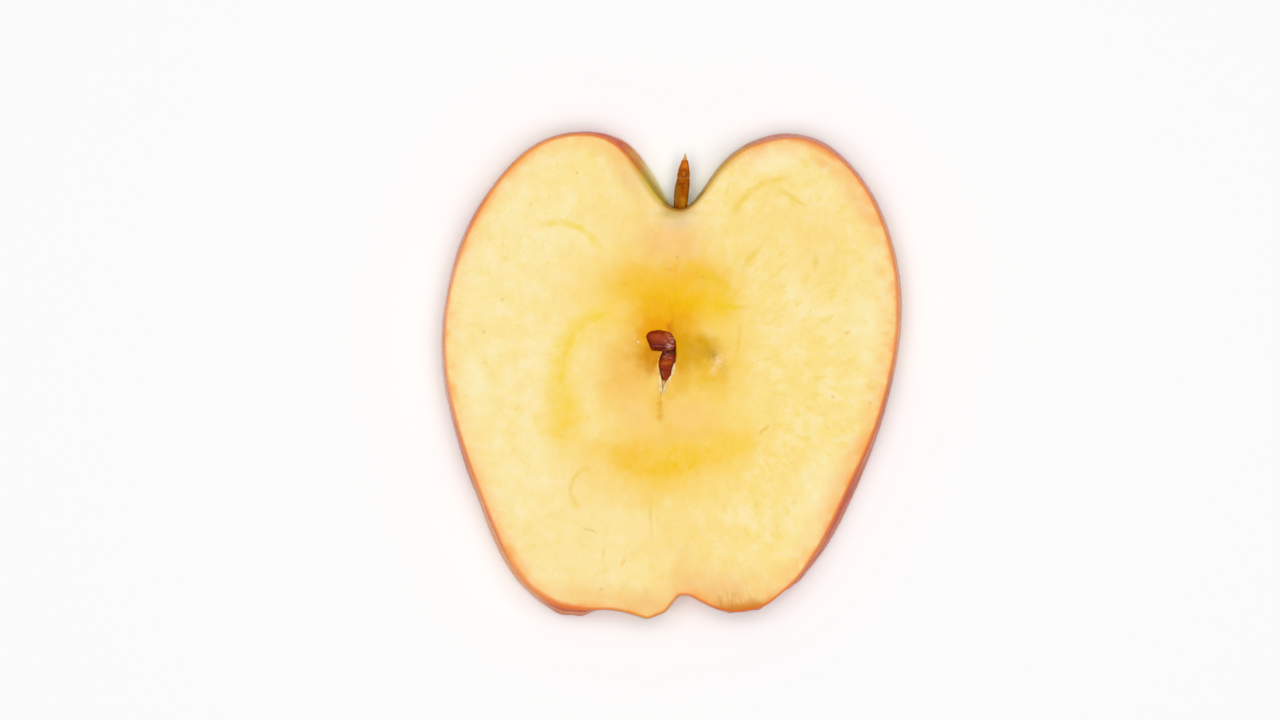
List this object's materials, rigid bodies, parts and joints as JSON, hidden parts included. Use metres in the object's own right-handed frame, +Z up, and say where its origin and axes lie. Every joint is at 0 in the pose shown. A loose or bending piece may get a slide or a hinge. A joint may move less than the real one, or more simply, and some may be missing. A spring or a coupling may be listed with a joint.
{
  "type": "apple slice",
  "caption": "Thin lengthwise slice from the middle of a red and yellow apple, with its skin, its whole stem and its seeds lying in the opened core.",
  "frame": {"origin": "under the middle of the slice's bounding box, on the surface that the slice lies on", "axes": "+Z up out of the upper cut face, +Y along the core towards the stem, +X to the right as seen from above"},
  "size_m": [0.0728, 0.0774, 0.006],
  "materials": {
    "flesh": "moist, pale yellow cut flesh, gold round the core, with a thin red and yellow skin on its edge",
    "stem": "dry brown woody stem with a fine grain and a frayed tip",
    "seed": "smooth shiny red-brown seed coat"
  },
  "bodies": {
    "root": {"slice": "flesh", "stem": "stem", "seed_across": "seed", "seed_upright": "seed"}
  },
  "joints": []
}
